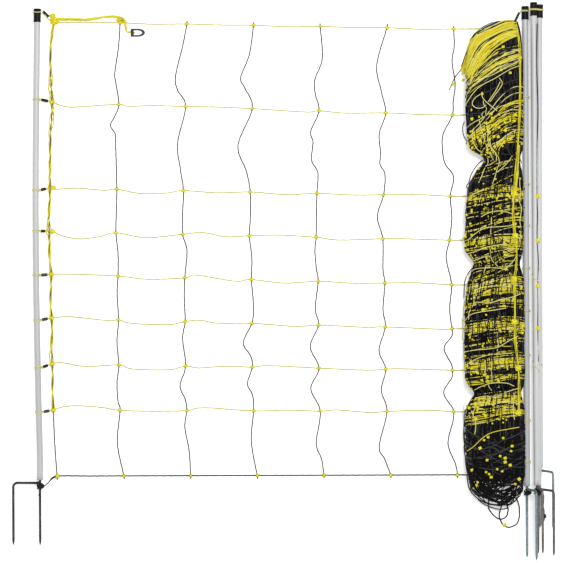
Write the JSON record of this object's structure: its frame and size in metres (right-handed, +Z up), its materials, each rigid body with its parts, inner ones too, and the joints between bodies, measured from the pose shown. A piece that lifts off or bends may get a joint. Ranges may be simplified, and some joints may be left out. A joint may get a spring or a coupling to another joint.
{
  "type": "electric sheep netting",
  "caption": "Electrifiable mesh fence netting with tubular posts on double spikes, one bay spread out and the rest gathered into a hank beside its posts.",
  "frame": {"origin": "on the floor under the centre of the netting's box, without its free cords", "axes": "+X along the net from the first post to the hank, +Y up the net from the spikes to the caps, +Z up from the floor"},
  "size_m": [1.2932, 1.3274, 0.1109],
  "materials": {
    "post_tube": "smooth off-white extruded tube with faint scuffs",
    "cap": "moulded black plastic",
    "spike": "galvanised steel rod, dull blue grey",
    "live_wire": "twisted yellow polyethylene strands with fine steel conductors",
    "base_cord": "twisted black polyethylene cord without conductors",
    "upright_cord": "thin twisted dark grey polyethylene cord",
    "tie_sleeve": "flattened black plastic sleeve",
    "gathered_net": "bundle of yellow and black net strands",
    "clip_plastic": "moulded dark plastic",
    "clip_metal": "plain metal plate"
  },
  "bodies": {
    "root": {"post_1_tube": "post_tube", "post_1_cap": "cap", "post_1_spike": "spike", "post_1_lashing": "base_cord", "post_2_tube": "post_tube", "post_2_cap": "cap", "post_2_spike": "spike", "post_2_lashing": "base_cord", "post_3_tube": "post_tube", "post_3_cap": "cap", "post_3_spike": "spike", "post_4_tube": "post_tube", "post_4_cap": "cap", "post_4_spike": "spike", "post_4_lashing": "base_cord", "post_5_tube": "post_tube", "post_5_cap": "cap", "post_5_spike": "spike", "post_5_lashing": "base_cord", "live_row_1": "live_wire", "tie_sleeve_1": "tie_sleeve", "live_row_2": "live_wire", "tie_sleeve_2": "tie_sleeve", "live_row_3": "live_wire", "tie_sleeve_3": "tie_sleeve", "live_row_4": "live_wire", "tie_sleeve_4": "tie_sleeve", "live_row_5": "live_wire", "tie_sleeve_5": "tie_sleeve", "live_row_6": "live_wire", "tie_sleeve_6": "tie_sleeve", "live_row_7": "live_wire", "tie_sleeve_7": "tie_sleeve", "live_row_8": "live_wire", "tie_sleeve_8": "tie_sleeve", "base_row": "base_cord", "upright_1": "upright_cord", "upright_2": "upright_cord", "upright_3": "upright_cord", "upright_4": "upright_cord", "upright_5": "upright_cord", "upright_6": "upright_cord", "upright_7": "upright_cord", "winding_wire": "live_wire", "cap_wire": "live_wire", "hank_core": "gathered_net", "lead": "live_wire", "clip_ring": "clip_plastic", "clip_tongue": "clip_metal", "slack_loop_1": "base_cord", "slack_loop_2": "base_cord", "tail_cord": "base_cord"}
  },
  "joints": []
}
